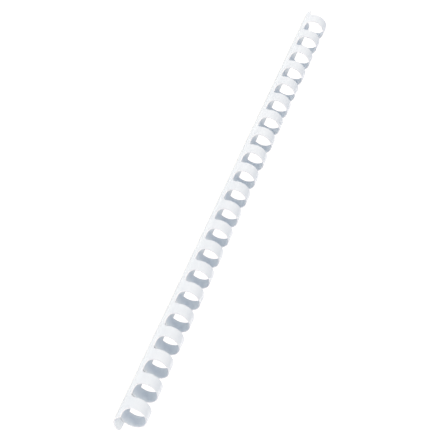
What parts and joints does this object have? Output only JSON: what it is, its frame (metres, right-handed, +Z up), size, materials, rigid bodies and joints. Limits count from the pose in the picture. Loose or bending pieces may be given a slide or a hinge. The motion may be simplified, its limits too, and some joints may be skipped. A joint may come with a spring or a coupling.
{
  "type": "plastic binding comb",
  "caption": "White plastic binding comb: a long curved spine with a row of curled fingers that spring open as rings to hold punched A4 pages.",
  "frame": {"origin": "middle of the spine's underside, under the centre of the comb", "axes": "+X along the comb, +Z up from the spine through the rings to their crown, -Y the side on which the fingers leave the spine and +Y the side where they tuck back in"},
  "size_m": [0.302, 0.0126, 0.0132],
  "materials": {
    "pvc_white": "smooth satin white PVC sheet, 0.5 mm thick, with clean die-cut edges"
  },
  "bodies": {
    "spine": {"spine": "pvc_white"},
    "ring_01_bow": {"ring_01_bow": "pvc_white"},
    "ring_01_tip": {"ring_01_tip": "pvc_white"},
    "ring_02_bow": {"ring_02_bow": "pvc_white"},
    "ring_02_tip": {"ring_02_tip": "pvc_white"},
    "ring_03_bow": {"ring_03_bow": "pvc_white"},
    "ring_03_tip": {"ring_03_tip": "pvc_white"},
    "ring_04_bow": {"ring_04_bow": "pvc_white"},
    "ring_04_tip": {"ring_04_tip": "pvc_white"},
    "ring_05_bow": {"ring_05_bow": "pvc_white"},
    "ring_05_tip": {"ring_05_tip": "pvc_white"},
    "ring_06_bow": {"ring_06_bow": "pvc_white"},
    "ring_06_tip": {"ring_06_tip": "pvc_white"},
    "ring_07_bow": {"ring_07_bow": "pvc_white"},
    "ring_07_tip": {"ring_07_tip": "pvc_white"},
    "ring_08_bow": {"ring_08_bow": "pvc_white"},
    "ring_08_tip": {"ring_08_tip": "pvc_white"},
    "ring_09_bow": {"ring_09_bow": "pvc_white"},
    "ring_09_tip": {"ring_09_tip": "pvc_white"},
    "ring_10_bow": {"ring_10_bow": "pvc_white"},
    "ring_10_tip": {"ring_10_tip": "pvc_white"},
    "ring_11_bow": {"ring_11_bow": "pvc_white"},
    "ring_11_tip": {"ring_11_tip": "pvc_white"},
    "ring_12_bow": {"ring_12_bow": "pvc_white"},
    "ring_12_tip": {"ring_12_tip": "pvc_white"},
    "ring_13_bow": {"ring_13_bow": "pvc_white"},
    "ring_13_tip": {"ring_13_tip": "pvc_white"},
    "ring_14_bow": {"ring_14_bow": "pvc_white"},
    "ring_14_tip": {"ring_14_tip": "pvc_white"},
    "ring_15_bow": {"ring_15_bow": "pvc_white"},
    "ring_15_tip": {"ring_15_tip": "pvc_white"},
    "ring_16_bow": {"ring_16_bow": "pvc_white"},
    "ring_16_tip": {"ring_16_tip": "pvc_white"},
    "ring_17_bow": {"ring_17_bow": "pvc_white"},
    "ring_17_tip": {"ring_17_tip": "pvc_white"},
    "ring_18_bow": {"ring_18_bow": "pvc_white"},
    "ring_18_tip": {"ring_18_tip": "pvc_white"},
    "ring_19_bow": {"ring_19_bow": "pvc_white"},
    "ring_19_tip": {"ring_19_tip": "pvc_white"},
    "ring_20_bow": {"ring_20_bow": "pvc_white"},
    "ring_20_tip": {"ring_20_tip": "pvc_white"},
    "ring_21_bow": {"ring_21_bow": "pvc_white"},
    "ring_21_tip": {"ring_21_tip": "pvc_white"}
  },
  "joints": [
    {"name": "ring_01_root_flex", "type": "hinge", "parent": "spine", "child": "ring_01_bow", "pos_m": [-0.14288, -0.00441, 0.00214], "axis": [1, 0, 0], "range_deg": [0, 60], "stiffness_Nm_per_rad": 0.0004, "springref_deg": -17.19},
    {"name": "ring_01_shoulder_flex", "type": "hinge", "parent": "ring_01_bow", "child": "ring_01_tip", "pos_m": [-0.14288, 0.00387, 0.01199], "axis": [1, 0, 0], "range_deg": [0, 45], "stiffness_Nm_per_rad": 0.0004, "springref_deg": -17.19},
    {"name": "ring_02_root_flex", "type": "hinge", "parent": "spine", "child": "ring_02_bow", "pos_m": [-0.12859, -0.00441, 0.00214], "axis": [1, 0, 0], "range_deg": [0, 60], "stiffness_Nm_per_rad": 0.0004, "springref_deg": -17.19},
    {"name": "ring_02_shoulder_flex", "type": "hinge", "parent": "ring_02_bow", "child": "ring_02_tip", "pos_m": [-0.12859, 0.00387, 0.01199], "axis": [1, 0, 0], "range_deg": [0, 45], "stiffness_Nm_per_rad": 0.0004, "springref_deg": -17.19},
    {"name": "ring_03_root_flex", "type": "hinge", "parent": "spine", "child": "ring_03_bow", "pos_m": [-0.1143, -0.00441, 0.00214], "axis": [1, 0, 0], "range_deg": [0, 60], "stiffness_Nm_per_rad": 0.0004, "springref_deg": -17.19},
    {"name": "ring_03_shoulder_flex", "type": "hinge", "parent": "ring_03_bow", "child": "ring_03_tip", "pos_m": [-0.1143, 0.00387, 0.01199], "axis": [1, 0, 0], "range_deg": [0, 45], "stiffness_Nm_per_rad": 0.0004, "springref_deg": -17.19},
    {"name": "ring_04_root_flex", "type": "hinge", "parent": "spine", "child": "ring_04_bow", "pos_m": [-0.10001, -0.00441, 0.00214], "axis": [1, 0, 0], "range_deg": [0, 60], "stiffness_Nm_per_rad": 0.0004, "springref_deg": -17.19},
    {"name": "ring_04_shoulder_flex", "type": "hinge", "parent": "ring_04_bow", "child": "ring_04_tip", "pos_m": [-0.10001, 0.00387, 0.01199], "axis": [1, 0, 0], "range_deg": [0, 45], "stiffness_Nm_per_rad": 0.0004, "springref_deg": -17.19},
    {"name": "ring_05_root_flex", "type": "hinge", "parent": "spine", "child": "ring_05_bow", "pos_m": [-0.08572, -0.00441, 0.00214], "axis": [1, 0, 0], "range_deg": [0, 60], "stiffness_Nm_per_rad": 0.0004, "springref_deg": -17.19},
    {"name": "ring_05_shoulder_flex", "type": "hinge", "parent": "ring_05_bow", "child": "ring_05_tip", "pos_m": [-0.08572, 0.00387, 0.01199], "axis": [1, 0, 0], "range_deg": [0, 45], "stiffness_Nm_per_rad": 0.0004, "springref_deg": -17.19},
    {"name": "ring_06_root_flex", "type": "hinge", "parent": "spine", "child": "ring_06_bow", "pos_m": [-0.07144, -0.00441, 0.00214], "axis": [1, 0, 0], "range_deg": [0, 60], "stiffness_Nm_per_rad": 0.0004, "springref_deg": -17.19},
    {"name": "ring_06_shoulder_flex", "type": "hinge", "parent": "ring_06_bow", "child": "ring_06_tip", "pos_m": [-0.07144, 0.00387, 0.01199], "axis": [1, 0, 0], "range_deg": [0, 45], "stiffness_Nm_per_rad": 0.0004, "springref_deg": -17.19},
    {"name": "ring_07_root_flex", "type": "hinge", "parent": "spine", "child": "ring_07_bow", "pos_m": [-0.05715, -0.00441, 0.00214], "axis": [1, 0, 0], "range_deg": [0, 60], "stiffness_Nm_per_rad": 0.0004, "springref_deg": -17.19},
    {"name": "ring_07_shoulder_flex", "type": "hinge", "parent": "ring_07_bow", "child": "ring_07_tip", "pos_m": [-0.05715, 0.00387, 0.01199], "axis": [1, 0, 0], "range_deg": [0, 45], "stiffness_Nm_per_rad": 0.0004, "springref_deg": -17.19},
    {"name": "ring_08_root_flex", "type": "hinge", "parent": "spine", "child": "ring_08_bow", "pos_m": [-0.04286, -0.00441, 0.00214], "axis": [1, 0, 0], "range_deg": [0, 60], "stiffness_Nm_per_rad": 0.0004, "springref_deg": -17.19},
    {"name": "ring_08_shoulder_flex", "type": "hinge", "parent": "ring_08_bow", "child": "ring_08_tip", "pos_m": [-0.04286, 0.00387, 0.01199], "axis": [1, 0, 0], "range_deg": [0, 45], "stiffness_Nm_per_rad": 0.0004, "springref_deg": -17.19},
    {"name": "ring_09_root_flex", "type": "hinge", "parent": "spine", "child": "ring_09_bow", "pos_m": [-0.02857, -0.00441, 0.00214], "axis": [1, 0, 0], "range_deg": [0, 60], "stiffness_Nm_per_rad": 0.0004, "springref_deg": -17.19},
    {"name": "ring_09_shoulder_flex", "type": "hinge", "parent": "ring_09_bow", "child": "ring_09_tip", "pos_m": [-0.02857, 0.00387, 0.01199], "axis": [1, 0, 0], "range_deg": [0, 45], "stiffness_Nm_per_rad": 0.0004, "springref_deg": -17.19},
    {"name": "ring_10_root_flex", "type": "hinge", "parent": "spine", "child": "ring_10_bow", "pos_m": [-0.01429, -0.00441, 0.00214], "axis": [1, 0, 0], "range_deg": [0, 60], "stiffness_Nm_per_rad": 0.0004, "springref_deg": -17.19},
    {"name": "ring_10_shoulder_flex", "type": "hinge", "parent": "ring_10_bow", "child": "ring_10_tip", "pos_m": [-0.01429, 0.00387, 0.01199], "axis": [1, 0, 0], "range_deg": [0, 45], "stiffness_Nm_per_rad": 0.0004, "springref_deg": -17.19},
    {"name": "ring_11_root_flex", "type": "hinge", "parent": "spine", "child": "ring_11_bow", "pos_m": [0, -0.00441, 0.00214], "axis": [1, 0, 0], "range_deg": [0, 60], "stiffness_Nm_per_rad": 0.0004, "springref_deg": -17.19},
    {"name": "ring_11_shoulder_flex", "type": "hinge", "parent": "ring_11_bow", "child": "ring_11_tip", "pos_m": [0, 0.00387, 0.01199], "axis": [1, 0, 0], "range_deg": [0, 45], "stiffness_Nm_per_rad": 0.0004, "springref_deg": -17.19},
    {"name": "ring_12_root_flex", "type": "hinge", "parent": "spine", "child": "ring_12_bow", "pos_m": [0.01429, -0.00441, 0.00214], "axis": [1, 0, 0], "range_deg": [0, 60], "stiffness_Nm_per_rad": 0.0004, "springref_deg": -17.19},
    {"name": "ring_12_shoulder_flex", "type": "hinge", "parent": "ring_12_bow", "child": "ring_12_tip", "pos_m": [0.01429, 0.00387, 0.01199], "axis": [1, 0, 0], "range_deg": [0, 45], "stiffness_Nm_per_rad": 0.0004, "springref_deg": -17.19},
    {"name": "ring_13_root_flex", "type": "hinge", "parent": "spine", "child": "ring_13_bow", "pos_m": [0.02857, -0.00441, 0.00214], "axis": [1, 0, 0], "range_deg": [0, 60], "stiffness_Nm_per_rad": 0.0004, "springref_deg": -17.19},
    {"name": "ring_13_shoulder_flex", "type": "hinge", "parent": "ring_13_bow", "child": "ring_13_tip", "pos_m": [0.02857, 0.00387, 0.01199], "axis": [1, 0, 0], "range_deg": [0, 45], "stiffness_Nm_per_rad": 0.0004, "springref_deg": -17.19},
    {"name": "ring_14_root_flex", "type": "hinge", "parent": "spine", "child": "ring_14_bow", "pos_m": [0.04286, -0.00441, 0.00214], "axis": [1, 0, 0], "range_deg": [0, 60], "stiffness_Nm_per_rad": 0.0004, "springref_deg": -17.19},
    {"name": "ring_14_shoulder_flex", "type": "hinge", "parent": "ring_14_bow", "child": "ring_14_tip", "pos_m": [0.04286, 0.00387, 0.01199], "axis": [1, 0, 0], "range_deg": [0, 45], "stiffness_Nm_per_rad": 0.0004, "springref_deg": -17.19},
    {"name": "ring_15_root_flex", "type": "hinge", "parent": "spine", "child": "ring_15_bow", "pos_m": [0.05715, -0.00441, 0.00214], "axis": [1, 0, 0], "range_deg": [0, 60], "stiffness_Nm_per_rad": 0.0004, "springref_deg": -17.19},
    {"name": "ring_15_shoulder_flex", "type": "hinge", "parent": "ring_15_bow", "child": "ring_15_tip", "pos_m": [0.05715, 0.00387, 0.01199], "axis": [1, 0, 0], "range_deg": [0, 45], "stiffness_Nm_per_rad": 0.0004, "springref_deg": -17.19},
    {"name": "ring_16_root_flex", "type": "hinge", "parent": "spine", "child": "ring_16_bow", "pos_m": [0.07144, -0.00441, 0.00214], "axis": [1, 0, 0], "range_deg": [0, 60], "stiffness_Nm_per_rad": 0.0004, "springref_deg": -17.19},
    {"name": "ring_16_shoulder_flex", "type": "hinge", "parent": "ring_16_bow", "child": "ring_16_tip", "pos_m": [0.07144, 0.00387, 0.01199], "axis": [1, 0, 0], "range_deg": [0, 45], "stiffness_Nm_per_rad": 0.0004, "springref_deg": -17.19},
    {"name": "ring_17_root_flex", "type": "hinge", "parent": "spine", "child": "ring_17_bow", "pos_m": [0.08572, -0.00441, 0.00214], "axis": [1, 0, 0], "range_deg": [0, 60], "stiffness_Nm_per_rad": 0.0004, "springref_deg": -17.19},
    {"name": "ring_17_shoulder_flex", "type": "hinge", "parent": "ring_17_bow", "child": "ring_17_tip", "pos_m": [0.08572, 0.00387, 0.01199], "axis": [1, 0, 0], "range_deg": [0, 45], "stiffness_Nm_per_rad": 0.0004, "springref_deg": -17.19},
    {"name": "ring_18_root_flex", "type": "hinge", "parent": "spine", "child": "ring_18_bow", "pos_m": [0.10001, -0.00441, 0.00214], "axis": [1, 0, 0], "range_deg": [0, 60], "stiffness_Nm_per_rad": 0.0004, "springref_deg": -17.19},
    {"name": "ring_18_shoulder_flex", "type": "hinge", "parent": "ring_18_bow", "child": "ring_18_tip", "pos_m": [0.10001, 0.00387, 0.01199], "axis": [1, 0, 0], "range_deg": [0, 45], "stiffness_Nm_per_rad": 0.0004, "springref_deg": -17.19},
    {"name": "ring_19_root_flex", "type": "hinge", "parent": "spine", "child": "ring_19_bow", "pos_m": [0.1143, -0.00441, 0.00214], "axis": [1, 0, 0], "range_deg": [0, 60], "stiffness_Nm_per_rad": 0.0004, "springref_deg": -17.19},
    {"name": "ring_19_shoulder_flex", "type": "hinge", "parent": "ring_19_bow", "child": "ring_19_tip", "pos_m": [0.1143, 0.00387, 0.01199], "axis": [1, 0, 0], "range_deg": [0, 45], "stiffness_Nm_per_rad": 0.0004, "springref_deg": -17.19},
    {"name": "ring_20_root_flex", "type": "hinge", "parent": "spine", "child": "ring_20_bow", "pos_m": [0.12859, -0.00441, 0.00214], "axis": [1, 0, 0], "range_deg": [0, 60], "stiffness_Nm_per_rad": 0.0004, "springref_deg": -17.19},
    {"name": "ring_20_shoulder_flex", "type": "hinge", "parent": "ring_20_bow", "child": "ring_20_tip", "pos_m": [0.12859, 0.00387, 0.01199], "axis": [1, 0, 0], "range_deg": [0, 45], "stiffness_Nm_per_rad": 0.0004, "springref_deg": -17.19},
    {"name": "ring_21_root_flex", "type": "hinge", "parent": "spine", "child": "ring_21_bow", "pos_m": [0.14288, -0.00441, 0.00214], "axis": [1, 0, 0], "range_deg": [0, 60], "stiffness_Nm_per_rad": 0.0004, "springref_deg": -17.19},
    {"name": "ring_21_shoulder_flex", "type": "hinge", "parent": "ring_21_bow", "child": "ring_21_tip", "pos_m": [0.14288, 0.00387, 0.01199], "axis": [1, 0, 0], "range_deg": [0, 45], "stiffness_Nm_per_rad": 0.0004, "springref_deg": -17.19}
  ],
  "couplings": [
    {"joint": "ring_01_shoulder_flex", "follows": "ring_01_root_flex", "ratio": 0.75},
    {"joint": "ring_02_root_flex", "follows": "ring_01_root_flex", "ratio": 1},
    {"joint": "ring_02_shoulder_flex", "follows": "ring_01_root_flex", "ratio": 0.75},
    {"joint": "ring_03_root_flex", "follows": "ring_01_root_flex", "ratio": 1},
    {"joint": "ring_03_shoulder_flex", "follows": "ring_01_root_flex", "ratio": 0.75},
    {"joint": "ring_04_root_flex", "follows": "ring_01_root_flex", "ratio": 1},
    {"joint": "ring_04_shoulder_flex", "follows": "ring_01_root_flex", "ratio": 0.75},
    {"joint": "ring_05_root_flex", "follows": "ring_01_root_flex", "ratio": 1},
    {"joint": "ring_05_shoulder_flex", "follows": "ring_01_root_flex", "ratio": 0.75},
    {"joint": "ring_06_root_flex", "follows": "ring_01_root_flex", "ratio": 1},
    {"joint": "ring_06_shoulder_flex", "follows": "ring_01_root_flex", "ratio": 0.75},
    {"joint": "ring_07_root_flex", "follows": "ring_01_root_flex", "ratio": 1},
    {"joint": "ring_07_shoulder_flex", "follows": "ring_01_root_flex", "ratio": 0.75},
    {"joint": "ring_08_root_flex", "follows": "ring_01_root_flex", "ratio": 1},
    {"joint": "ring_08_shoulder_flex", "follows": "ring_01_root_flex", "ratio": 0.75},
    {"joint": "ring_09_root_flex", "follows": "ring_01_root_flex", "ratio": 1},
    {"joint": "ring_09_shoulder_flex", "follows": "ring_01_root_flex", "ratio": 0.75},
    {"joint": "ring_10_root_flex", "follows": "ring_01_root_flex", "ratio": 1},
    {"joint": "ring_10_shoulder_flex", "follows": "ring_01_root_flex", "ratio": 0.75},
    {"joint": "ring_11_root_flex", "follows": "ring_01_root_flex", "ratio": 1},
    {"joint": "ring_11_shoulder_flex", "follows": "ring_01_root_flex", "ratio": 0.75},
    {"joint": "ring_12_root_flex", "follows": "ring_01_root_flex", "ratio": 1},
    {"joint": "ring_12_shoulder_flex", "follows": "ring_01_root_flex", "ratio": 0.75},
    {"joint": "ring_13_root_flex", "follows": "ring_01_root_flex", "ratio": 1},
    {"joint": "ring_13_shoulder_flex", "follows": "ring_01_root_flex", "ratio": 0.75},
    {"joint": "ring_14_root_flex", "follows": "ring_01_root_flex", "ratio": 1},
    {"joint": "ring_14_shoulder_flex", "follows": "ring_01_root_flex", "ratio": 0.75},
    {"joint": "ring_15_root_flex", "follows": "ring_01_root_flex", "ratio": 1},
    {"joint": "ring_15_shoulder_flex", "follows": "ring_01_root_flex", "ratio": 0.75},
    {"joint": "ring_16_root_flex", "follows": "ring_01_root_flex", "ratio": 1},
    {"joint": "ring_16_shoulder_flex", "follows": "ring_01_root_flex", "ratio": 0.75},
    {"joint": "ring_17_root_flex", "follows": "ring_01_root_flex", "ratio": 1},
    {"joint": "ring_17_shoulder_flex", "follows": "ring_01_root_flex", "ratio": 0.75},
    {"joint": "ring_18_root_flex", "follows": "ring_01_root_flex", "ratio": 1},
    {"joint": "ring_18_shoulder_flex", "follows": "ring_01_root_flex", "ratio": 0.75},
    {"joint": "ring_19_root_flex", "follows": "ring_01_root_flex", "ratio": 1},
    {"joint": "ring_19_shoulder_flex", "follows": "ring_01_root_flex", "ratio": 0.75},
    {"joint": "ring_20_root_flex", "follows": "ring_01_root_flex", "ratio": 1},
    {"joint": "ring_20_shoulder_flex", "follows": "ring_01_root_flex", "ratio": 0.75},
    {"joint": "ring_21_root_flex", "follows": "ring_01_root_flex", "ratio": 1},
    {"joint": "ring_21_shoulder_flex", "follows": "ring_01_root_flex", "ratio": 0.75}
  ]
}
